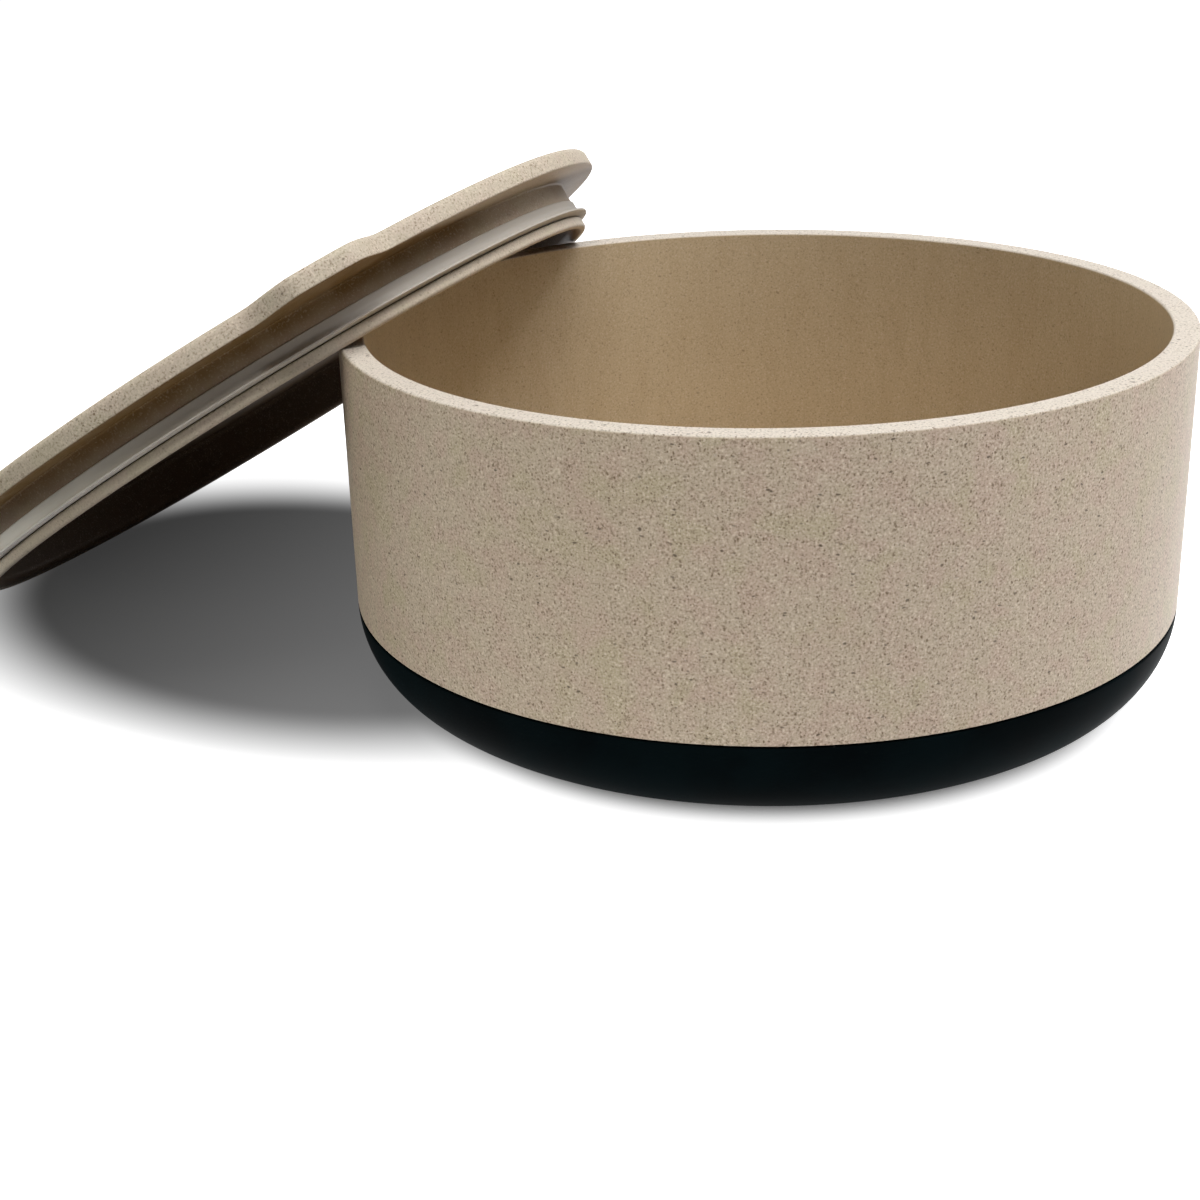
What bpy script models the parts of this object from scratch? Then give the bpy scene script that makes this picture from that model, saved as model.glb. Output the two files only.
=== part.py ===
"""Lidded dog bowl: a straight-walled moulded bowl in a soft base boot, its plug lid leaning on the rim.

Metres, +Z up. The origin is on the bowl's axis, on the surface that the bowl stands on.
The lid is off: its lip stands on that surface at -X and it leans on the rim, open side down.
"""
import math

import bmesh
import bpy
import numpy as np

# Bowl: a moulded cup with a flat-topped rim and an upright wall
BOWL_RADIUS = 0.1000
BOWL_HEIGHT = 0.0875
WALL = 0.0060
FLOOR = 0.0052
RIM_EDGE = 0.0006
WALL_DRAFT = 0.0005
SKIRT_EDGE = 0.0005

# Boot: the soft cup that the bowl's foot sits in, flush with the wall above it
BOOT_HEIGHT = 0.0217
BOOT_WALL = 0.0030
BOOT_LIP_EDGE = 0.0005

# Lid: a flat plate with a hollow plug below it, closed by a seal in a groove round the plug
PLATE = 0.0049
PLATE_OVERHANG = 0.0028
PLATE_TOP_EDGE = 0.0016
PLATE_LOW_EDGE = 0.0005
PLUG_DEPTH = 0.0126
PLUG_PLAY = 0.0010
PLUG_WALL = 0.0036
NECK_FILLET = 0.0006
GROOVE_TOP = 0.0052
GROOVE_HEIGHT = 0.0045
GROOVE_DEPTH = 0.0016
LIP_TOP_EDGE = 0.0004
LIP_EDGE = 0.0009
LIP_INNER_ROUND = 0.0028
RECESS_FILLET = 0.0020

# Pull tab on the plate's edge: reach past the edge, straight width and the width of each blend
TAB_REACH = 0.0090
TAB_WIDTH = 0.0120
TAB_BLEND = 0.0130
TAB_ANGLE = math.radians(-42.0)

# Seal: a sleeve in the groove that flares out into a thin fin above the lip
SEAL_PROUD = 0.0004
SEAL_EDGE = 0.0003
SLEEVE_HEIGHT = 0.0016
FIN_REACH = 0.0018
FIN_RISE = 0.0004
FIN_TIP = 0.0004

# Fits and the lean
FIT_GAP = 0.0003
LEAN_ANGLE = math.radians(33.3)

# Facets: steps round a full turn, across the tab and along the arcs of the profiles
TURN_STEPS = 72
TAB_STEPS = 18
CORNER_STEPS = 7
EDGE_STEPS = 4
FIN_STEPS = 4
SMALL_EDGE_STEPS = 3
FINE_EDGE_STEPS = 2
SHARP_ANGLE = math.radians(35.0)
MERGE_DISTANCE = 1e-6

# Search for the lid's place: points round each ring, march step and halvings of the last step
LEAN_SAMPLES = 720
LEAN_STEP = 0.001
LEAN_HALVINGS = 20

# Finishes
PLASTIC_COLOUR = (0.52, 0.45, 0.36, 1.0)
PLASTIC_ROUGHNESS = 0.48
BOOT_COLOUR = (0.012, 0.014, 0.016, 1.0)
BOOT_ROUGHNESS = 0.42
SEAL_COLOUR = (0.62, 0.61, 0.58, 1.0)
SEAL_ROUGHNESS = 0.35

BOWL_INNER = BOWL_RADIUS - WALL
CORNER_CENTRE = BOWL_RADIUS - BOOT_HEIGHT
PLATE_RADIUS = BOWL_RADIUS + PLATE_OVERHANG
PLUG_RADIUS = BOWL_INNER - PLUG_PLAY
LID_DEPTH = PLATE + PLUG_DEPTH
TAB_HALF_ANGLE = (TAB_WIDTH / 2 + TAB_BLEND) / PLATE_RADIUS


def clear_scene():
    """Remove whatever the open file holds."""
    for item in list(bpy.data.objects):
        bpy.data.objects.remove(item, do_unlink=True)


def arc(centre_r, centre_z, radius, start, end, steps):
    """Points of a circular arc in the half plane of radius and height, angles in degrees."""
    angles = np.radians(np.linspace(start, end, steps + 1))
    return [(centre_r + radius * math.cos(a), centre_z + radius * math.sin(a)) for a in angles]


def profile_edges(bm, profile, start_angle, closed):
    """Lay a profile in the half plane at an angle about the axis and join its points."""
    cosine, sine = math.cos(start_angle), math.sin(start_angle)
    verts = [bm.verts.new((r * cosine, r * sine, z)) for r, z in profile]
    edges = [bm.edges.new(pair) for pair in zip(verts, verts[1:])]
    if closed:
        edges.append(bm.edges.new((verts[-1], verts[0])))
    return verts + edges


def spin_sectors(bm, profile, sectors, start_angle=0.0, closed=False):
    """Turn a profile about the axis in sectors of (angle, steps), then cap its open ends."""
    geometry = profile_edges(bm, profile, start_angle, closed)
    for angle, steps in sectors:
        turned = bmesh.ops.spin(bm, geom=geometry, cent=(0, 0, 0), axis=(0, 0, 1), angle=angle, steps=steps)
        geometry = turned["geom_last"]
    bmesh.ops.remove_doubles(bm, verts=bm.verts, dist=MERGE_DISTANCE)
    bmesh.ops.holes_fill(bm, edges=[e for e in bm.edges if e.is_boundary], sides=0)
    bmesh.ops.recalc_face_normals(bm, faces=bm.faces)


def finish_object(bm, name, material):
    """Make a smooth-shaded object of a mesh and give it its material."""
    mesh = bpy.data.meshes.new(name)
    bm.to_mesh(mesh)
    bm.free()
    mesh.shade_smooth()
    mesh.set_sharp_from_angle(angle=SHARP_ANGLE)
    mesh.materials.append(material)
    item = bpy.data.objects.new(name, mesh)
    bpy.context.scene.collection.objects.link(item)
    return item


def make_material(name, colour, roughness):
    """A plain surface of one colour and roughness."""
    material = bpy.data.materials.new(name)
    material.use_nodes = True
    shader = material.node_tree.nodes["Principled BSDF"]
    shader.inputs["Base Color"].default_value = colour
    shader.inputs["Roughness"].default_value = roughness
    shader.inputs["Metallic"].default_value = 0.0
    return material


def bowl_profile():
    """Inside floor, inside wall, rim, outside wall, then the stepped-in foot that the boot covers."""
    inner_floor = BOOT_WALL + FIT_GAP + FLOOR
    inner_corner = BOWL_INNER - WALL_DRAFT - CORNER_CENTRE
    foot_corner = BOOT_HEIGHT - BOOT_WALL - FIT_GAP
    skirt_low = BOOT_HEIGHT + FIT_GAP
    points = arc(CORNER_CENTRE, inner_floor + inner_corner, inner_corner, -90, 0, CORNER_STEPS)
    points += arc(BOWL_INNER + RIM_EDGE, BOWL_HEIGHT - RIM_EDGE, RIM_EDGE, 180, 90, EDGE_STEPS)
    points += arc(BOWL_RADIUS - RIM_EDGE, BOWL_HEIGHT - RIM_EDGE, RIM_EDGE, 90, 0, EDGE_STEPS)
    points += arc(BOWL_RADIUS - SKIRT_EDGE, skirt_low + SKIRT_EDGE, SKIRT_EDGE, 0, -90, FINE_EDGE_STEPS)
    points += [(CORNER_CENTRE + foot_corner, skirt_low)]
    points += arc(CORNER_CENTRE, BOOT_HEIGHT, foot_corner, 0, -90, CORNER_STEPS)
    return points


def boot_profile():
    """Inside floor, round inside corner, top edge, round outside corner and the flat underside."""
    inner_corner = BOOT_HEIGHT - BOOT_WALL
    points = arc(CORNER_CENTRE, BOOT_HEIGHT, inner_corner, -90, 0, CORNER_STEPS)
    lip_low = BOOT_HEIGHT - BOOT_LIP_EDGE
    points += arc(BOWL_RADIUS - BOOT_LIP_EDGE, lip_low, BOOT_LIP_EDGE, 90, 0, FINE_EDGE_STEPS)
    outer = arc(CORNER_CENTRE, BOOT_HEIGHT, BOOT_HEIGHT, 0, -90, CORNER_STEPS + 1)
    return points + [p for p in outer if p[1] < lip_low - BOOT_LIP_EDGE]


def lid_profile():
    """Plate's top edge, its underside, the grooved plug wall, the lip and the hollow inside.

    Heights are measured down from the plate's top face.
    """
    neck_low = -PLATE - NECK_FILLET
    groove_top = -PLATE - GROOVE_TOP
    groove_low = groove_top - GROOVE_HEIGHT
    groove_floor = PLUG_RADIUS - GROOVE_DEPTH
    recess_radius = PLUG_RADIUS - PLUG_WALL
    lip_middle = recess_radius + LIP_INNER_ROUND
    plate_low_middle = PLATE_LOW_EDGE - PLATE
    fillet_middle = recess_radius - RECESS_FILLET
    points = arc(PLATE_RADIUS - PLATE_TOP_EDGE, -PLATE_TOP_EDGE, PLATE_TOP_EDGE, 90, 0, EDGE_STEPS)
    points += arc(PLATE_RADIUS - PLATE_LOW_EDGE, plate_low_middle, PLATE_LOW_EDGE, 0, -90, SMALL_EDGE_STEPS)
    points += arc(PLUG_RADIUS + NECK_FILLET, neck_low, NECK_FILLET, 90, 180, FINE_EDGE_STEPS)
    points += [(PLUG_RADIUS, groove_top), (groove_floor, groove_top), (groove_floor, groove_low)]
    points += arc(PLUG_RADIUS - LIP_TOP_EDGE, groove_low - LIP_TOP_EDGE, LIP_TOP_EDGE, 90, 0, FINE_EDGE_STEPS)
    points += arc(PLUG_RADIUS - LIP_EDGE, LIP_EDGE - LID_DEPTH, LIP_EDGE, 0, -90, SMALL_EDGE_STEPS)
    points += arc(lip_middle, LIP_INNER_ROUND - LID_DEPTH, LIP_INNER_ROUND, -90, -180, SMALL_EDGE_STEPS)
    points += arc(fillet_middle, -PLATE - RECESS_FILLET, RECESS_FILLET, 0, 90, SMALL_EDGE_STEPS)
    return points


def fin_profile(root_radius, root_height, tip_height):
    """The flare from an upright root out to a level tip, a quarter of an ellipse, then the blunt tip."""
    fall = root_height - tip_height
    angles = np.linspace(0, math.pi / 2, FIN_STEPS + 1)
    flare = [(root_radius + FIN_REACH * (1 - math.cos(a)), root_height - fall * math.sin(a)) for a in angles]
    return flare + [(root_radius + FIN_REACH, tip_height - FIN_TIP)]


def seal_profile():
    """The sleeve and its fin, clear of the groove by the fit gap; a closed loop of points."""
    top = -PLATE - GROOVE_TOP - FIT_GAP
    low = -PLATE - GROOVE_TOP - GROOVE_HEIGHT + FIT_GAP
    inner = PLUG_RADIUS - GROOVE_DEPTH + FIT_GAP
    sleeve = PLUG_RADIUS + SEAL_PROUD
    points = [(inner, top)]
    points += arc(sleeve - SEAL_EDGE, top - SEAL_EDGE, SEAL_EDGE, 90, 0, FINE_EDGE_STEPS)
    points += fin_profile(sleeve, top - SLEEVE_HEIGHT, low + FIN_RISE + FIN_TIP)
    return points + [(sleeve, low), (inner, low)]


def tab_push(angle):
    """How far the plate's edge stands out at an angle about the lid's axis."""
    turn = math.remainder(angle - TAB_ANGLE, math.tau)
    along = abs(turn) * PLATE_RADIUS
    blend = min(max((along - TAB_WIDTH / 2) / TAB_BLEND, 0.0), 1.0)
    return TAB_REACH * (0.5 + 0.5 * math.cos(math.pi * blend))


def pull_tab(bm):
    """Draw the plate's edge out into the tab."""
    edge_start = PLATE_RADIUS - max(PLATE_TOP_EDGE, PLATE_LOW_EDGE) - FIT_GAP
    for vert in bm.verts:
        radius = math.hypot(vert.co.x, vert.co.y)
        if radius > edge_start:
            push = tab_push(math.atan2(vert.co.y, vert.co.x))
            vert.co.x *= (radius + push) / radius
            vert.co.y *= (radius + push) / radius


def wall_clearance(radius, height):
    """Distance from the bowl's wall and its rounded rim, negative inside them."""
    across = np.abs(radius - (BOWL_INNER + BOWL_RADIUS) / 2) - (WALL / 2 - RIM_EDGE)
    above = height - (BOWL_HEIGHT - RIM_EDGE)
    outside = np.hypot(np.maximum(across, 0), np.maximum(above, 0))
    inside = np.minimum(np.maximum(across, above), 0)
    return outside + inside - RIM_EDGE


def leaning_centre():
    """Centre of the lid's top face when its lip is on the floor and it has slid up to the rim."""
    profile = np.array(lid_profile() + seal_profile())
    turn = np.linspace(0, math.tau, LEAN_SAMPLES, endpoint=False)
    across = np.outer(profile[:, 0], np.cos(turn)).ravel()
    aside = np.outer(profile[:, 0], np.sin(turn)).ravel()
    height = np.repeat(profile[:, 1], turn.size)
    slope_x = across * math.cos(LEAN_ANGLE) - height * math.sin(LEAN_ANGLE)
    slope_z = across * math.sin(LEAN_ANGLE) + height * math.cos(LEAN_ANGLE)
    lift = -slope_z.min()

    def clearance(x):
        return wall_clearance(np.hypot(slope_x + x, aside), slope_z + lift).min()

    far = -BOWL_RADIUS - 2 * PLATE_RADIUS
    while clearance(far + LEAN_STEP) > FIT_GAP:
        far += LEAN_STEP
    near = far + LEAN_STEP
    for _ in range(LEAN_HALVINGS):
        middle = (near + far) / 2
        if clearance(middle) > FIT_GAP:
            far = middle
        else:
            near = middle
    return far, 0.0, lift


def make_bowl(material):
    """The moulded bowl."""
    bm = bmesh.new()
    spin_sectors(bm, bowl_profile(), [(math.tau, TURN_STEPS)])
    return finish_object(bm, "bowl_shell", material)


def make_boot(material):
    """The soft boot under the bowl."""
    bm = bmesh.new()
    spin_sectors(bm, boot_profile(), [(math.tau, TURN_STEPS)])
    return finish_object(bm, "base_boot", material)


def make_lid(material):
    """The lid, with finer facets across its tab."""
    bm = bmesh.new()
    tab_sector = 2 * TAB_HALF_ANGLE
    plain_sector = math.tau - tab_sector
    plain_steps = round(TURN_STEPS * plain_sector / math.tau)
    sectors = [(tab_sector, TAB_STEPS), (plain_sector, plain_steps)]
    spin_sectors(bm, lid_profile(), sectors, start_angle=TAB_ANGLE - TAB_HALF_ANGLE)
    pull_tab(bm)
    return finish_object(bm, "lid", material)


def make_seal(material):
    """The seal ring in the lid's groove."""
    bm = bmesh.new()
    spin_sectors(bm, seal_profile(), [(math.tau, TURN_STEPS)], closed=True)
    return finish_object(bm, "lid_seal", material)


def lean_lid(pieces):
    """Hang the lid's pieces on an empty at the lid's centre and lean it on the bowl."""
    holder = bpy.data.objects.new("lid_lean", None)
    bpy.context.scene.collection.objects.link(holder)
    holder.location = leaning_centre()
    holder.rotation_euler = (0.0, -LEAN_ANGLE, 0.0)
    for piece in pieces:
        piece.parent = holder
    return holder


def main():
    clear_scene()
    plastic = make_material("speckled_plastic", PLASTIC_COLOUR, PLASTIC_ROUGHNESS)
    lid_plastic = make_material("lid_plastic", PLASTIC_COLOUR, PLASTIC_ROUGHNESS)
    boot_rubber = make_material("boot_rubber", BOOT_COLOUR, BOOT_ROUGHNESS)
    seal_rubber = make_material("seal_rubber", SEAL_COLOUR, SEAL_ROUGHNESS)
    make_bowl(plastic)
    make_boot(boot_rubber)
    lean_lid([make_lid(lid_plastic), make_seal(seal_rubber)])


main()
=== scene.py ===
import math

import bmesh
import bpy
import numpy as np
from mathutils import Matrix, Vector


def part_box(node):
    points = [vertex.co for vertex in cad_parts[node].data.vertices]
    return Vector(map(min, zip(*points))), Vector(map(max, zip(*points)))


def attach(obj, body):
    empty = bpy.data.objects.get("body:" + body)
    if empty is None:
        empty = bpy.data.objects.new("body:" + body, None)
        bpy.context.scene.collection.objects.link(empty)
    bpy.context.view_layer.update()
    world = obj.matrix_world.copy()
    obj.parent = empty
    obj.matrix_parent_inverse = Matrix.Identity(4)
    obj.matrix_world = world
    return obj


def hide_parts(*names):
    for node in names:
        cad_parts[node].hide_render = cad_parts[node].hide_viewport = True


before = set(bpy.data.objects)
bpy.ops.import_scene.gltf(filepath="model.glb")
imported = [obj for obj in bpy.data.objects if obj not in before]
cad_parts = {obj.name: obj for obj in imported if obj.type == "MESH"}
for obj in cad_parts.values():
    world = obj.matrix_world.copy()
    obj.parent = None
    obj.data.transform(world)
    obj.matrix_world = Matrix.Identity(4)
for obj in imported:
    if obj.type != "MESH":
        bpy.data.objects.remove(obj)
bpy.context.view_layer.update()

# Sizes that the solids have, in metres
BOWL_RADIUS = 0.1000
BOWL_HEIGHT = 0.0875
WALL = 0.0060
FLOOR = 0.0052
RIM_EDGE = 0.0006
WALL_DRAFT = 0.0005
SKIRT_EDGE = 0.0005
BOOT_HEIGHT = 0.0217
BOOT_WALL = 0.0030
BOOT_LIP_EDGE = 0.0005
PLATE = 0.0049
PLATE_OVERHANG = 0.0028
PLATE_TOP_EDGE = 0.0016
PLATE_LOW_EDGE = 0.0005
PLUG_DEPTH = 0.0126
PLUG_PLAY = 0.0010
PLUG_WALL = 0.0036
NECK_FILLET = 0.0006
GROOVE_TOP = 0.0052
GROOVE_HEIGHT = 0.0045
GROOVE_DEPTH = 0.0016
LIP_TOP_EDGE = 0.0004
LIP_EDGE = 0.0009
LIP_INNER_ROUND = 0.0028
RECESS_FILLET = 0.0020
TAB_REACH = 0.0090
TAB_WIDTH = 0.0120
TAB_BLEND = 0.0130
TAB_ANGLE = math.radians(-42.0)
SEAL_PROUD = 0.0004
SEAL_EDGE = 0.0003
SLEEVE_HEIGHT = 0.0016
FIN_REACH = 0.0018
FIN_RISE = 0.0004
FIN_TIP = 0.0004
FIT_GAP = 0.0003
LEAN_ANGLE = math.radians(33.3)

BOWL_INNER = BOWL_RADIUS - WALL
CORNER_CENTRE = BOWL_RADIUS - BOOT_HEIGHT
PLATE_RADIUS = BOWL_RADIUS + PLATE_OVERHANG
PLUG_RADIUS = BOWL_INNER - PLUG_PLAY
LID_DEPTH = PLATE + PLUG_DEPTH

# Facets of the finished surfaces, and the angle past which an edge is sharp
TURN_STEPS = 288
ARC_STEPS = 8
CORNER_STEPS = 24
SHARP_ANGLE = math.radians(40.0)

# Camera: where it stands from the bowl's axis, how it is turned, and its lens and sensor in millimetres
CAMERA_AZIMUTH = math.radians(19.8)
CAMERA_DISTANCE = 0.4548
CAMERA_HEIGHT = 0.1967
CAMERA_YAW = math.radians(5.092)
CAMERA_PITCH = math.radians(-21.829)
CAMERA_ROLL = math.radians(-1.713)
CAMERA_LENS = 58.34
CAMERA_SENSOR = 36.0
CAMERA_NEAR = 0.01

# Lamps: name, degrees to the right of the camera's side, degrees up, size, power and colour
LAMP_DISTANCE = 1.2
LAMP_TARGET = (0.0, 0.0, 0.05)
WHITE_LIGHT = (1.0, 1.0, 1.0)
COOL_LIGHT = (0.92, 0.95, 1.0)
WARM_LIGHT = (0.98, 1.0, 0.93)
LAMPS = [
    ("front_high", 0.0, 72.0, 0.50, 7.8, WHITE_LIGHT),
    ("right_high", 90.0, 72.0, 0.50, 6.3, COOL_LIGHT),
    ("right_edge", 90.0, 62.0, 0.25, 2.4, COOL_LIGHT),
    ("right_side", 90.0, 48.0, 0.50, 1.7, COOL_LIGHT),
    ("right_low", 60.0, 6.0, 0.30, 1.3, COOL_LIGHT),
    ("left_low", -67.0, 6.0, 0.40, 4.6, WARM_LIGHT),
]
ROOM_WHITE = (1.0, 1.0, 1.0, 1.0)

# Floor: half its width, and how far it lies below the bowl
FLOOR_REACH = 4.0
FLOOR_DROP = 0.0002

# The shade painted on the floor: an ellipse to the left of the bowl, which fades in shares of its reach
SHADE_MIDDLE = (-0.1275, -0.0085, 0.0)
SHADE_REACH = (0.0940, 0.0666)
SHADE_TURN = math.radians(-16.5)
SHADE_FADE = (0.93, 1.45)
SHADE_END = (1.2, 1.7)

# Distances from the bowl's axis over which the shade close to the boot fades
CONTACT_FADE = (0.082, 0.094)

# What is left of the floor's white within the shade, from far left to the bowl, and less under the bowl
SHADE_SPAN = (-0.278, 0.020)
SHADE_GREY = (0.014, 0.194)
UNDER_BOWL_SPAN = (-0.050, 0.0)
UNDER_BOWL_LOSS = 0.09

# The floor that bounces light: little under the bowl, and ever less towards the left
LIT_MIDDLE = (-0.1154, -0.0043, 0.0)
LIT_REACH = (0.095, 0.077)
LIT_SPAN = (-1.0, 0.6)
LIT_FADE = (0.086, 0.102)
FLOOR_DARK = (0.05, 0.05, 0.05, 1.0)
FLOOR_SHOWN = (0.80, 0.80, 0.80, 1.0)
FLOOR_BOUNCE = (0.88, 0.88, 0.88, 1.0)

# Colours of the bowl and the lid
PALE_BEIGE = (0.545, 0.440, 0.325, 1.0)
ROSE_BEIGE = (0.545, 0.410, 0.315, 1.0)
OLIVE_BEIGE = (0.515, 0.430, 0.290, 1.0)
# Painted bounce light: the inside's tones are yellower than the outside's, for light reflected within the
# bowl; the streaks are the plastic's own
INSIDE_BOUNCE_BEIGE = (0.545, 0.428, 0.277, 1.0)
INSIDE_BOUNCE_STREAK = (0.522, 0.405, 0.257, 1.0)
# Painted sheen: the rim's flat top is paler, in place of the gloss that a lamp behind the bowl would give
RIM_SHEEN_PALE = (0.665, 0.600, 0.515, 1.0)
LID_PALE = (0.560, 0.500, 0.400, 1.0)
# Painted shade: brown in the channel under the lid's plate, where the plate's overhang shades it
CHANNEL_SHADE_BROWN = (0.150, 0.082, 0.022, 1.0)
# Painted shade: dark brown on the lid's hollow underside
HOLLOW_SHADE_BROWN = (0.110, 0.070, 0.042, 1.0)
FLECK_BROWN = (0.190, 0.128, 0.074, 1.0)
FLECK_DARK = (0.075, 0.048, 0.028, 1.0)
FLECK_PALE = (0.760, 0.660, 0.530, 1.0)

# Colours of the boot and the seal
BOOT_DARK = (0.0014, 0.0026, 0.0030, 1.0)
BOOT_BLUE = (0.0022, 0.0050, 0.0058, 1.0)
DUST = (0.220, 0.215, 0.200, 1.0)
SEAL_GREY = (0.510, 0.462, 0.398, 1.0)
SEAL_WARM = (0.500, 0.445, 0.375, 1.0)
# Painted light: the paler colour of the seal's low end
SEAL_PAINTED_LIGHT = (0.940, 0.890, 0.830, 1.0)
SEAL_DULL = (0.480, 0.440, 0.385, 1.0)

# What materials share: the span that most noise lies in, the fine grain, and how soft a spot's edge is
PLACES = "moulded"
NOISE_SPAN = (0.3, 0.7)
GRAIN_SIZE = 0.0005
GRAIN_STRENGTH = 0.10
GRAIN_HEIGHT = 0.0001
EVEN = (1.0, 1.0, 1.0)
SPOT_EDGE = (0.55, 1.25)

# Speckled plastic: sizes of its clouds in metres, with the span of noise that shows
WANDER_SIZE = 0.0009
WANDER_REACH = 0.0006
WANDER_DETAIL = 1.0
ROSE_SIZE = 0.0060
ROSE_SPAN = (0.40, 0.65)
OLIVE_SIZE = 0.0085
OLIVE_SPAN = (0.50, 0.72)
CLOUD_TINT = 0.9
PLASTIC_ROUGHNESS = (0.42, 0.54)
BOWL_SHINE = 0.22
LID_SHINE = 0.09

# Grain that shows as specks: span of noise, depth and tint
GRAINS = [
    ((0.49, 0.27), 0.68, FLECK_BROWN),
    ((0.52, 0.75), 0.85, FLECK_PALE),
]

# Fibre flecks: cell, radius of a spot, share of empty cells and stretch, then depth and tint
FLECKS = [
    ((0.0008, 0.00021, 0.00, EVEN), 0.92, FLECK_BROWN),
    ((0.0012, 0.00025, 0.05, (1.0, 1.0, 0.7)), 0.95, FLECK_BROWN),
    ((0.0018, 0.00028, 0.30, (0.6, 0.6, 1.1)), 0.85, FLECK_DARK),
    ((0.0055, 0.00036, 0.50, EVEN), 0.85, FLECK_DARK),
]

# Zones of the bowl: the streaks inside, how far flecks fade there and on the rim, and the painted sheen
# on the rim's flat top
STREAK_STRETCH = (1.0, 1.0, 0.25)
STREAK_SIZE = 0.0050
STREAK_SPAN = (0.35, 0.70)
INSIDE_FADE = 0.60
RIM_FADE = 0.10
RIM_SHEEN_SHARE = 0.8
RIM_FLAT = 0.2

# Zones of the lid: patches of flecks, and the shade painted in the channel under the plate, paler at its
# right end
PATCH_SIZE = 0.012
PATCH_FLECKS = (0.55, 0.90)
UNDER_EDGE = 0.0001
UNDER_FADE = 0.6
DEEP_FLECKS = 0.28
CHANNEL_EDGE = 0.0010
CHANNEL_DEPTH = (0.6, 1.0)
CHANNEL_DARKEST = 0.25
CHANNEL_STREAK_SIZE = 0.006
CHANNEL_STREAKS = (0.90, 1.0)
PALER_END = (0.088, 0.099)
PALER_CHANNEL = 0.25
LID_SHARE = 0.5

# Rubber of the boot: its clouds, its dust and its shine
BOOT_CLOUD_SIZE = 0.025
BOOT_CLOUD_DETAIL = 4.0
BOOT_CLOUD_SPAN = (0.35, 0.65)
BOOT_GRAIN_DETAIL = 3.0
DUST_CELL = 0.0060
DUST_SPOT = 0.00030
DUST_EMPTY = 0.55
DUST_SHARE = 0.12
BOOT_ROUGHNESS = (0.40, 0.50)
BOOT_SHINE = 0.004

# Silicone of the seal: where sleeve and fin blend, the painted light that makes its low end paler, its
# clouds and how light enters it
SLEEVE_FADE_LOW = 0.0004
SLEEVE_FADE_HIGH = 0.0001
SEAL_PAINTED_LIGHT_SPAN = (0.06, -0.04)
SEAL_PAINTED_LIGHT_SHARE = 0.95
SEAL_CLOUD_SIZE = 0.018
SEAL_CLOUD_SPAN = (0.4, 0.8)
SEAL_DULL_SHARE = 0.3
SEAL_ROUGHNESS = (0.46, 0.56)
SEAL_SHINE = 0.10
SEAL_IOR = 1.41
SEAL_SCATTER = 0.15
SEAL_SCATTER_REACH = (0.0015, 0.0013, 0.0011)
SEAL_SCATTER_SCALE = 1.0


def arc(centre_r, centre_z, radius, start, end, steps=ARC_STEPS):
    """Points of a circular arc in the half plane of radius and height, angles in degrees."""
    angles = np.radians(np.linspace(start, end, steps + 1))
    return [(centre_r + radius * math.cos(a), centre_z + radius * math.sin(a)) for a in angles]


def turned_mesh(name, profile, closed=False):
    """A fine turned surface; an open profile gets a flat round face at each end."""
    bm = bmesh.new()
    rings = []
    for r, z in profile:
        angles = [math.tau * i / TURN_STEPS for i in range(TURN_STEPS)]
        rings.append([bm.verts.new((r * math.cos(a), r * math.sin(a), z)) for a in angles])
    pairs = list(zip(rings, rings[1:]))
    if closed:
        pairs.append((rings[-1], rings[0]))
    for upper, lower in pairs:
        for i in range(TURN_STEPS):
            j = (i + 1) % TURN_STEPS
            bm.faces.new((upper[i], upper[j], lower[j], lower[i]))
    if not closed:
        for ring in (rings[0], rings[-1]):
            bm.faces.new(ring)
    bmesh.ops.recalc_face_normals(bm, faces=bm.faces)
    mesh = bpy.data.meshes.new(name)
    bm.to_mesh(mesh)
    bm.free()
    return mesh


def keep_places(mesh):
    """Store each point's place in the upright piece, for the materials."""
    places = mesh.attributes.new(PLACES, "FLOAT_VECTOR", "POINT")
    places.data.foreach_set("vector", [c for vert in mesh.vertices for c in vert.co])


def add_piece(name, mesh, material, body, node):
    """Show a mesh in place of a CAD node, riding on that node's body."""
    mesh.shade_smooth()
    mesh.set_sharp_from_angle(angle=SHARP_ANGLE)
    mesh.materials.append(material)
    piece = bpy.data.objects.new(name, mesh)
    bpy.context.scene.collection.objects.link(piece)
    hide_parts(node)
    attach(piece, body)


def bowl_profile():
    """Inside floor, inside wall, rim, outside wall and the stepped-in foot under the boot."""
    inner_floor = BOOT_WALL + FIT_GAP + FLOOR
    inner_corner = BOWL_INNER - WALL_DRAFT - CORNER_CENTRE
    foot_corner = BOOT_HEIGHT - BOOT_WALL - FIT_GAP
    skirt_low = BOOT_HEIGHT + FIT_GAP
    points = arc(CORNER_CENTRE, inner_floor + inner_corner, inner_corner, -90, 0, CORNER_STEPS)
    points += arc(BOWL_INNER + RIM_EDGE, BOWL_HEIGHT - RIM_EDGE, RIM_EDGE, 180, 90)
    points += arc(BOWL_RADIUS - RIM_EDGE, BOWL_HEIGHT - RIM_EDGE, RIM_EDGE, 90, 0)
    points += arc(BOWL_RADIUS - SKIRT_EDGE, skirt_low + SKIRT_EDGE, SKIRT_EDGE, 0, -90)
    points += [(CORNER_CENTRE + foot_corner, skirt_low)]
    points += arc(CORNER_CENTRE, BOOT_HEIGHT, foot_corner, 0, -90, CORNER_STEPS)
    return points


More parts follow.
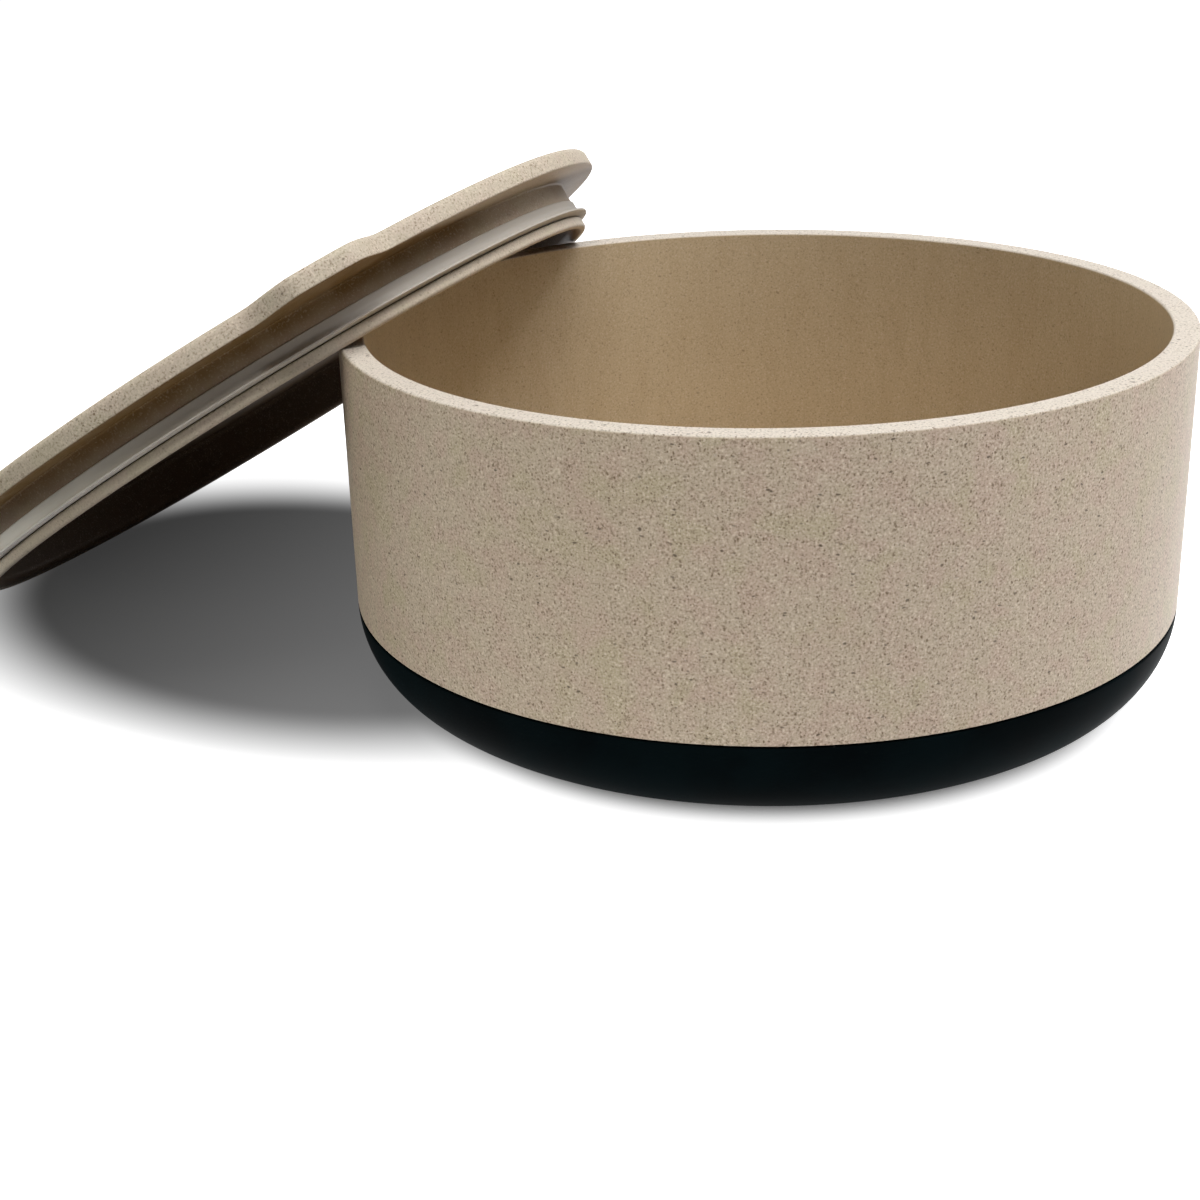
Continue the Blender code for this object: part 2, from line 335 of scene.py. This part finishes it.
def boot_profile():
    """Inside floor, round inside corner, top edge, round outside corner and the flat underside."""
    inner_corner = BOOT_HEIGHT - BOOT_WALL
    points = arc(CORNER_CENTRE, BOOT_HEIGHT, inner_corner, -90, 0, CORNER_STEPS)
    points += arc(BOWL_RADIUS - BOOT_LIP_EDGE, BOOT_HEIGHT - BOOT_LIP_EDGE, BOOT_LIP_EDGE, 90, 0)
    outer = arc(CORNER_CENTRE, BOOT_HEIGHT, BOOT_HEIGHT, 0, -90, CORNER_STEPS)
    return points + [p for p in outer if p[1] < BOOT_HEIGHT - 2 * BOOT_LIP_EDGE]


def lid_profile():
    """Plate's top edge, its underside, the grooved plug wall, the lip and the hollow inside."""
    neck_low = -PLATE - NECK_FILLET
    groove_top = -PLATE - GROOVE_TOP
    groove_low = groove_top - GROOVE_HEIGHT
    groove_floor = PLUG_RADIUS - GROOVE_DEPTH
    recess_radius = PLUG_RADIUS - PLUG_WALL
    lip_middle = recess_radius + LIP_INNER_ROUND
    points = arc(PLATE_RADIUS - PLATE_TOP_EDGE, -PLATE_TOP_EDGE, PLATE_TOP_EDGE, 90, 0)
    points += arc(PLATE_RADIUS - PLATE_LOW_EDGE, PLATE_LOW_EDGE - PLATE, PLATE_LOW_EDGE, 0, -90)
    points += arc(PLUG_RADIUS + NECK_FILLET, neck_low, NECK_FILLET, 90, 180)
    points += [(PLUG_RADIUS, groove_top), (groove_floor, groove_top), (groove_floor, groove_low)]
    points += arc(PLUG_RADIUS - LIP_TOP_EDGE, groove_low - LIP_TOP_EDGE, LIP_TOP_EDGE, 90, 0)
    points += arc(PLUG_RADIUS - LIP_EDGE, LIP_EDGE - LID_DEPTH, LIP_EDGE, 0, -90)
    points += arc(lip_middle, LIP_INNER_ROUND - LID_DEPTH, LIP_INNER_ROUND, -90, -180)
    points += arc(recess_radius - RECESS_FILLET, -PLATE - RECESS_FILLET, RECESS_FILLET, 0, 90)
    return points


def fin_profile(root_radius, root_height, tip_height):
    """The flare from an upright root out to a level tip, then the blunt tip."""
    fall = root_height - tip_height
    points = []
    for angle in np.linspace(0, math.pi / 2, ARC_STEPS + 1):
        out = FIN_REACH * (1 - math.cos(angle))
        points.append((root_radius + out, root_height - fall * math.sin(angle)))
    return points + [(root_radius + FIN_REACH, tip_height - FIN_TIP)]


def seal_profile():
    """The sleeve and its fin, clear of the groove by the fit gap; a closed loop of points."""
    top = -PLATE - GROOVE_TOP
    low = -PLATE - GROOVE_TOP - GROOVE_HEIGHT + FIT_GAP
    inner = PLUG_RADIUS - GROOVE_DEPTH + FIT_GAP
    sleeve = PLUG_RADIUS + SEAL_PROUD
    points = [(inner, top)]
    points += arc(sleeve - SEAL_EDGE, top - SEAL_EDGE, SEAL_EDGE, 90, 0)
    points += fin_profile(sleeve, top - SLEEVE_HEIGHT, low + FIN_RISE + FIN_TIP)
    return points + [(sleeve, low), (inner, low)]


def tab_push(angle):
    """How far the plate's edge stands out at an angle about the lid's axis."""
    along = abs(math.remainder(angle - TAB_ANGLE, math.tau)) * PLATE_RADIUS
    blend = min(max((along - TAB_WIDTH / 2) / TAB_BLEND, 0.0), 1.0)
    return TAB_REACH * (0.5 + 0.5 * math.cos(math.pi * blend))


def pull_tab(mesh):
    """Draw the plate's edge out into the tab."""
    edge_start = PLATE_RADIUS - PLATE_TOP_EDGE - FIT_GAP
    for vert in mesh.vertices:
        radius = math.hypot(vert.co.x, vert.co.y)
        if radius > edge_start:
            push = tab_push(math.atan2(vert.co.y, vert.co.x))
            vert.co.x *= (radius + push) / radius
            vert.co.y *= (radius + push) / radius


def lean_matrix(lid):
    """Turn the lid by its lean and set its lowest and outermost points where the solid lid has them."""
    turn = Matrix.Rotation(-LEAN_ANGLE, 4, "Y")
    corners = [turn @ vert.co for vert in lid.vertices]
    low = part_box("lid")[0]
    shift = (low.x - min(c.x for c in corners), 0.0, low.z - min(c.z for c in corners))
    return Matrix.Translation(shift) @ turn


def new_tree(name):
    """A new material, its node tree and its shader."""
    material = bpy.data.materials.new(name)
    material.use_nodes = True
    tree = material.node_tree
    return material, tree, tree.nodes["Principled BSDF"]


def feed(tree, socket, value):
    """Link another socket to a socket, or set a number or colour on it."""
    if isinstance(value, bpy.types.NodeSocket):
        tree.links.new(value, socket)
    else:
        socket.default_value = value


def add_node(tree, kind, *values, settings=None, **inputs):
    """Add a node; values feed its first sockets in turn, and inputs feed sockets by name."""
    node = tree.nodes.new(kind)
    for key, value in (settings or {}).items():
        setattr(node, key, value)
    for key, value in [*enumerate(values), *inputs.items()]:
        feed(tree, node.inputs[key], value)
    return node


def math_node(tree, operation, first, second):
    """One sum on numbers or sockets."""
    return add_node(tree, "ShaderNodeMath", first, second, settings={"operation": operation}).outputs[0]


def product(tree, first, *others):
    """Numbers and sockets multiplied together."""
    for other in others:
        first = math_node(tree, "MULTIPLY", first, other)
    return first


def largest(tree, first, *others):
    """The largest of some numbers and sockets."""
    for other in others:
        first = math_node(tree, "MAXIMUM", first, other)
    return first


def vector_node(tree, operation, *vectors):
    """One sum on vectors or sockets."""
    return add_node(tree, "ShaderNodeVectorMath", *vectors, settings={"operation": operation})


def smooth_step(tree, value, start, end, low=0.0, high=1.0):
    """A smooth ramp from low to high as a value goes from start to end."""
    node = add_node(tree, "ShaderNodeMapRange", value, settings={"interpolation_type": "SMOOTHSTEP"})
    for key, number in zip(("From Min", "From Max", "To Min", "To Max"), (start, end, low, high)):
        node.inputs[key].default_value = number
    return node.outputs["Result"]


def mix_colour(tree, factor, first, second):
    """Blend two colours by a factor."""
    node = add_node(tree, "ShaderNodeMix", settings={"data_type": "RGBA"})
    for key, value in (("Factor", factor), ("A", first), ("B", second)):
        feed(tree, next(s for s in node.inputs if s.name == key and s.enabled), value)
    return next(s for s in node.outputs if s.enabled)


def fleck_mask(tree, point, cell, spot, empty, stretch=EVEN):
    """Scattered flecks: spots about the points of a cell grid, with some cells empty and some faint."""
    scale = tuple(s / cell for s in stretch)
    mapping = {"vector_type": "POINT"}
    mapped = add_node(tree, "ShaderNodeMapping", settings=mapping, Vector=point, Scale=scale)
    nearest = {"feature": "F1"}
    cells = add_node(tree, "ShaderNodeTexVoronoi", settings=nearest, Vector=mapped.outputs[0], Scale=1.0)
    chance = add_node(tree, "ShaderNodeSeparateColor", Color=cells.outputs["Color"])
    start, end = (spot / cell * share for share in SPOT_EDGE)
    spots = smooth_step(tree, cells.outputs["Distance"], start, end, 1.0, 0.0)
    kept = smooth_step(tree, chance.outputs[0], empty, 1.0)
    return product(tree, spots, kept)


def noise(tree, point, size, detail=2.0):
    """A soft noise whose lumps have a size in metres."""
    node = add_node(tree, "ShaderNodeTexNoise", Vector=point, Scale=1.0 / size, Detail=detail)
    return node.outputs["Fac"]


def moulded_place(tree):
    """Each point's place in the upright piece, however the piece leans."""
    return add_node(tree, "ShaderNodeAttribute", settings={"attribute_name": PLACES}).outputs["Vector"]


def wandering(tree, place):
    """A place shifted a little by noise, so that flecks have ragged outlines."""
    scale = 1.0 / WANDER_SIZE
    wander = add_node(tree, "ShaderNodeTexNoise", Vector=place, Scale=scale, Detail=WANDER_DETAIL)
    reach = (WANDER_REACH, WANDER_REACH, WANDER_REACH)
    return vector_node(tree, "MULTIPLY_ADD", wander.outputs["Color"], reach, place).outputs[0]


def axis_distance(tree, place):
    """Distance of a place from the upright axis of its frame."""
    flat = vector_node(tree, "MULTIPLY", place, (1.0, 1.0, 0.0)).outputs[0]
    return vector_node(tree, "LENGTH", flat).outputs["Value"]


def height_of(tree, place):
    """Height of a place in its frame."""
    return add_node(tree, "ShaderNodeSeparateXYZ", Vector=place).outputs["Z"]


def aside_of(tree, place):
    """How far a place lies to the side in its frame."""
    return add_node(tree, "ShaderNodeSeparateXYZ", Vector=place).outputs["X"]


def add_grain(tree, shader, grain):
    """Give a surface a fine relief."""
    bump = add_node(tree, "ShaderNodeBump", Height=grain, Strength=GRAIN_STRENGTH, Distance=GRAIN_HEIGHT)
    feed(tree, shader.inputs["Normal"], bump.outputs[0])


def vary_roughness(tree, shader, cloud, roughness):
    """Let the roughness go from one value to another with a noise."""
    feed(tree, shader.inputs["Roughness"], smooth_step(tree, cloud, *NOISE_SPAN, *roughness))


def speckled_plastic(name, zones, shine):
    """Pale beige moulding full of fine brown fibre flecks.

    zones gives the flecks' strength, and a tone with the share of it that tints the surface.
    """
    material, tree, shader = new_tree(name)
    place = moulded_place(tree)
    strength, share, tone = zones(tree, place)
    point = wandering(tree, place)
    grain = noise(tree, place, GRAIN_SIZE)
    rose = smooth_step(tree, noise(tree, place, ROSE_SIZE), *ROSE_SPAN, 0.0, CLOUD_TINT)
    olive = smooth_step(tree, noise(tree, point, OLIVE_SIZE), *OLIVE_SPAN, 0.0, CLOUD_TINT)
    colour = mix_colour(tree, olive, mix_colour(tree, rose, PALE_BEIGE, ROSE_BEIGE), OLIVE_BEIGE)
    colour = mix_colour(tree, share, colour, tone)
    layers = [(smooth_step(tree, grain, *span), depth, tint) for span, depth, tint in GRAINS]
    layers += [(fleck_mask(tree, point, *form), depth, tint) for form, depth, tint in FLECKS]
    for mask, depth, tint in layers:
        colour = mix_colour(tree, product(tree, mask, depth, strength), colour, tint)
    feed(tree, shader.inputs["Base Color"], colour)
    vary_roughness(tree, shader, grain, PLASTIC_ROUGHNESS)
    add_grain(tree, shader, grain)
    shader.inputs["Specular IOR Level"].default_value = shine
    return material


def bowl_zones(tree, place):
    """Full flecks outside; faint ones on the smooth inside with upright streaks, tinted yellower as
    painted bounce light; a painted sheen on the rim's top.
    """
    inside = smooth_step(tree, axis_distance(tree, place), BOWL_INNER + RIM_EDGE, BOWL_INNER)
    rim_low = BOWL_HEIGHT - RIM_EDGE
    # The rim's flat top, where a painted sheen pales the colour and thins the flecks
    top = smooth_step(tree, height_of(tree, place), rim_low, BOWL_HEIGHT - RIM_FLAT * RIM_EDGE)
    upright = vector_node(tree, "MULTIPLY", place, STREAK_STRETCH).outputs[0]
    streaks = smooth_step(tree, noise(tree, upright, STREAK_SIZE), *STREAK_SPAN)
    # The plastic's own upright streaks inside, in yellower tones that are painted bounce light
    tone = mix_colour(tree, streaks, INSIDE_BOUNCE_BEIGE, INSIDE_BOUNCE_STREAK)
    tone = mix_colour(tree, top, tone, RIM_SHEEN_PALE)
    flecks = math_node(tree, "SUBTRACT", 1.0, product(tree, inside, INSIDE_FADE))
    flecks = math_node(tree, "SUBTRACT", flecks, product(tree, top, RIM_FADE))
    return flecks, largest(tree, inside, product(tree, top, RIM_SHEEN_SHARE)), tone


def lid_zones(tree, place):
    """Patches of flecks on the plate, fainter ones below it, and painted shade in browns in the channel
    and the hollow.
    """
    height = height_of(tree, place)
    radius = axis_distance(tree, place)
    groove_top = -PLATE - GROOVE_TOP
    groove_floor = PLUG_RADIUS - GROOVE_DEPTH
    lip_middle = PLUG_RADIUS - PLUG_WALL + LIP_INNER_ROUND
    patches = smooth_step(tree, noise(tree, place, PATCH_SIZE), *NOISE_SPAN, *PATCH_FLECKS)
    under = smooth_step(tree, height, PLATE_LOW_EDGE - PLATE, UNDER_EDGE - PLATE)
    above_lip = smooth_step(tree, height, groove_top - GROOVE_HEIGHT, groove_top)
    darkest = -PLATE - GROOVE_TOP * CHANNEL_DARKEST
    depth = smooth_step(tree, height, groove_top, darkest, *CHANNEL_DEPTH)
    outside = smooth_step(tree, radius, groove_floor - CHANNEL_EDGE, groove_floor)
    paler_end = smooth_step(tree, aside_of(tree, place), *PALER_END, 1.0, PALER_CHANNEL)
    # Painted shade: the channel under the plate is tinted brown, darkest just under the plate and paler
    # at its right end
    channel_shade = product(tree, under, above_lip, outside, paler_end)
    streaks = noise(tree, place, CHANNEL_STREAK_SIZE)
    shaded = product(tree, channel_shade, depth, smooth_step(tree, streaks, *NOISE_SPAN, *CHANNEL_STREAKS))
    # Painted shade: the hollow underside within the lip is tinted dark brown
    within = smooth_step(tree, radius, lip_middle, lip_middle - LIP_INNER_ROUND / 2)
    hollow_shade = product(tree, under, within)
    deep = largest(tree, channel_shade, hollow_shade, product(tree, under, UNDER_FADE))
    flecks = product(tree, patches, smooth_step(tree, deep, 0.0, 1.0, 1.0, DEEP_FLECKS))
    tone = mix_colour(tree, channel_shade, LID_PALE, CHANNEL_SHADE_BROWN)
    tone = mix_colour(tree, hollow_shade, tone, HOLLOW_SHADE_BROWN)
    return flecks, largest(tree, shaded, hollow_shade, LID_SHARE), tone


def boot_rubber():
    """Near-black soft rubber with a fine satin grain and a little dust."""
    material, tree, shader = new_tree("boot_rubber")
    place = moulded_place(tree)
    cloud = noise(tree, place, BOOT_CLOUD_SIZE, BOOT_CLOUD_DETAIL)
    base = mix_colour(tree, smooth_step(tree, cloud, *BOOT_CLOUD_SPAN), BOOT_DARK, BOOT_BLUE)
    dust = fleck_mask(tree, place, DUST_CELL, DUST_SPOT, DUST_EMPTY)
    feed(tree, shader.inputs["Base Color"], mix_colour(tree, product(tree, dust, DUST_SHARE), base, DUST))
    vary_roughness(tree, shader, cloud, BOOT_ROUGHNESS)
    add_grain(tree, shader, noise(tree, place, GRAIN_SIZE, BOOT_GRAIN_DETAIL))
    shader.inputs["Specular IOR Level"].default_value = BOOT_SHINE
    return material


def seal_silicone():
    """Milky silicone, a little warmer on the sleeve than on the fin, with painted light making it lighter
    towards the low end.
    """
    material, tree, shader = new_tree("seal_silicone")
    place = moulded_place(tree)
    flare = -PLATE - GROOVE_TOP - SLEEVE_HEIGHT
    sleeve = smooth_step(tree, height_of(tree, place), flare - SLEEVE_FADE_LOW, flare + SLEEVE_FADE_HIGH)
    colour = mix_colour(tree, sleeve, SEAL_GREY, SEAL_WARM)
    # Painted light: the seal's low end is lightened where little lamp light reaches it
    painted_light_end = smooth_step(tree, aside_of(tree, place), *SEAL_PAINTED_LIGHT_SPAN, 0.0, SEAL_PAINTED_LIGHT_SHARE)
    colour = mix_colour(tree, painted_light_end, colour, SEAL_PAINTED_LIGHT)
    cloud = noise(tree, place, SEAL_CLOUD_SIZE)
    dull = smooth_step(tree, cloud, *SEAL_CLOUD_SPAN, 0.0, SEAL_DULL_SHARE)
    feed(tree, shader.inputs["Base Color"], mix_colour(tree, dull, colour, SEAL_DULL))
    vary_roughness(tree, shader, cloud, SEAL_ROUGHNESS)
    shader.inputs["Specular IOR Level"].default_value = SEAL_SHINE
    shader.inputs["Subsurface Weight"].default_value = SEAL_SCATTER
    shader.inputs["Subsurface Radius"].default_value = SEAL_SCATTER_REACH
    shader.inputs["Subsurface Scale"].default_value = SEAL_SCATTER_SCALE
    shader.inputs["IOR"].default_value = SEAL_IOR
    return material


def make_pieces():
    """The bowl, its boot, the lid and its seal as finished surfaces."""
    plastic = speckled_plastic("speckled_plastic", bowl_zones, BOWL_SHINE)
    bowl = turned_mesh("bowl", bowl_profile())
    keep_places(bowl)
    add_piece("bowl", bowl, plastic, "bowl", "bowl_shell")
    boot = turned_mesh("boot", boot_profile())
    keep_places(boot)
    add_piece("boot", boot, boot_rubber(), "bowl", "base_boot")
    lid_plastic = speckled_plastic("lid_plastic", lid_zones, LID_SHINE)
    lid = turned_mesh("plug_lid", lid_profile())
    pull_tab(lid)
    keep_places(lid)
    lean = lean_matrix(lid)
    lid.transform(lean)
    add_piece("plug_lid", lid, lid_plastic, "lid", "lid")
    seal = turned_mesh("seal_ring", seal_profile(), closed=True)
    keep_places(seal)
    seal.transform(lean)
    add_piece("seal_ring", seal, seal_silicone(), "lid", "lid_seal")


def make_camera():
    """The camera at the photograph's viewing angle."""
    data = bpy.data.cameras.new("camera")
    data.lens = CAMERA_LENS
    data.sensor_width = CAMERA_SENSOR
    data.clip_start = CAMERA_NEAR
    camera = bpy.data.objects.new("camera", data)
    bpy.context.scene.collection.objects.link(camera)
    heading = Matrix.Rotation(CAMERA_AZIMUTH + CAMERA_YAW, 4, "Z")
    tilt = Matrix.Rotation(math.radians(90.0) + CAMERA_PITCH, 4, "X")
    roll = Matrix.Rotation(CAMERA_ROLL, 4, "Z")
    across = CAMERA_DISTANCE * math.sin(CAMERA_AZIMUTH)
    along = -CAMERA_DISTANCE * math.cos(CAMERA_AZIMUTH)
    camera.matrix_world = Matrix.Translation((across, along, CAMERA_HEIGHT)) @ heading @ tilt @ roll
    bpy.context.scene.camera = camera


def around(angle, elevation):
    """A lamp's place: an angle to the right of the camera's side of the bowl, and a height angle."""
    heading = CAMERA_AZIMUTH + math.radians(angle)
    rise = math.radians(elevation)
    across = LAMP_DISTANCE * math.cos(rise)
    return across * math.sin(heading), -across * math.cos(heading), LAMP_DISTANCE * math.sin(rise)


def add_lamp(name, place, size, power, colour):
    """A soft square lamp that shines on the bowl."""
    data = bpy.data.lights.new(name, "AREA")
    data.size = size
    data.energy = power
    data.color = colour
    lamp = bpy.data.objects.new(name, data)
    bpy.context.scene.collection.objects.link(lamp)
    lamp.location = place
    lamp.rotation_euler = (Vector(LAMP_TARGET) - Vector(place)).to_track_quat("-Z", "Y").to_euler()


def seen_ray(tree):
    """One for rays that show the surroundings, nought for those that light the object."""
    rays = add_node(tree, "ShaderNodeLightPath").outputs
    return largest(tree, rays["Is Camera Ray"], rays["Is Glossy Ray"], rays["Is Transmission Ray"])


def make_lights():
    """Lamps high in front and on the right, weak low ones to either side, and white round about."""
    for name, angle, elevation, size, power, colour in LAMPS:
        add_lamp(name, around(angle, elevation), size, power, colour)
    world = bpy.data.worlds.new("room")
    bpy.context.scene.world = world
    world.use_nodes = True
    tree = world.node_tree
    tree.nodes.clear()
    back = add_node(tree, "ShaderNodeBackground", Color=ROOM_WHITE, Strength=seen_ray(tree))
    add_node(tree, "ShaderNodeOutputWorld", Surface=back.outputs[0])


def floor_frame(tree, place, middle, turn, reach):
    """Places on the floor about a middle, turned, and measured in a reach each way."""
    node = add_node(tree, "ShaderNodeMapping", settings={"vector_type": "TEXTURE"}, Vector=place)
    node.inputs["Location"].default_value = middle
    node.inputs["Rotation"].default_value = (0.0, 0.0, turn)
    node.inputs["Scale"].default_value = (*reach, 1.0)
    return node.outputs[0]


def floor_glow(tree, place, ring):
    """White that the floor shows by itself: all of it past the shade and the bowl, little within."""
    clear = smooth_step(tree, ring, *SHADE_FADE)
    front = smooth_step(tree, axis_distance(tree, place), *CONTACT_FADE)
    along = aside_of(tree, place)
    grey = smooth_step(tree, along, *SHADE_SPAN, *SHADE_GREY)
    loss = smooth_step(tree, along, *UNDER_BOWL_SPAN, 0.0, UNDER_BOWL_LOSS)
    rest = math_node(tree, "SUBTRACT", grey, loss)
    return math_node(tree, "ADD", product(tree, clear, front), rest)


def floor_colour(tree, place, ring):
    """The floor's colour: one for the rays that show it, and one for the light that it bounces."""
    lit = aside_of(tree, floor_frame(tree, place, LIT_MIDDLE, CAMERA_AZIMUTH, LIT_REACH))
    past_bowl = smooth_step(tree, axis_distance(tree, place), *LIT_FADE)
    open_floor = product(tree, smooth_step(tree, lit, *LIT_SPAN), past_bowl)
    bounce = mix_colour(tree, open_floor, FLOOR_DARK, FLOOR_BOUNCE)
    shown = mix_colour(tree, smooth_step(tree, ring, *SHADE_END), FLOOR_DARK, FLOOR_SHOWN)
    return mix_colour(tree, seen_ray(tree), bounce, shown)


def floor_white():
    """The floor's material: white, with the shade beside the bowl painted on it."""
    material = bpy.data.materials.new("floor_white")
    material.use_nodes = True
    tree = material.node_tree
    tree.nodes.clear()
    place = add_node(tree, "ShaderNodeTexCoord").outputs["Object"]
    ring = axis_distance(tree, floor_frame(tree, place, SHADE_MIDDLE, SHADE_TURN, SHADE_REACH))
    diffuse = add_node(tree, "ShaderNodeBsdfDiffuse", Color=floor_colour(tree, place, ring))
    strength = product(tree, floor_glow(tree, place, ring), seen_ray(tree))
    glow = add_node(tree, "ShaderNodeEmission", Strength=strength)
    total = add_node(tree, "ShaderNodeAddShader", diffuse.outputs[0], glow.outputs[0])
    add_node(tree, "ShaderNodeOutputMaterial", Surface=total.outputs[0])
    return material


def make_floor():
    """A plain floor that runs out to white."""
    mesh = bpy.data.meshes.new("floor")
    corners = [(-1, -1), (1, -1), (1, 1), (-1, 1)]
    mesh.from_pydata([(x * FLOOR_REACH, y * FLOOR_REACH, 0.0) for x, y in corners], [], [(0, 1, 2, 3)])
    mesh.materials.append(floor_white())
    floor = bpy.data.objects.new("floor", mesh)
    bpy.context.scene.collection.objects.link(floor)
    floor.location.z = -FLOOR_DROP


make_camera()
make_lights()
make_floor()
make_pieces()
bpy.context.scene.view_settings.view_transform = "Standard"
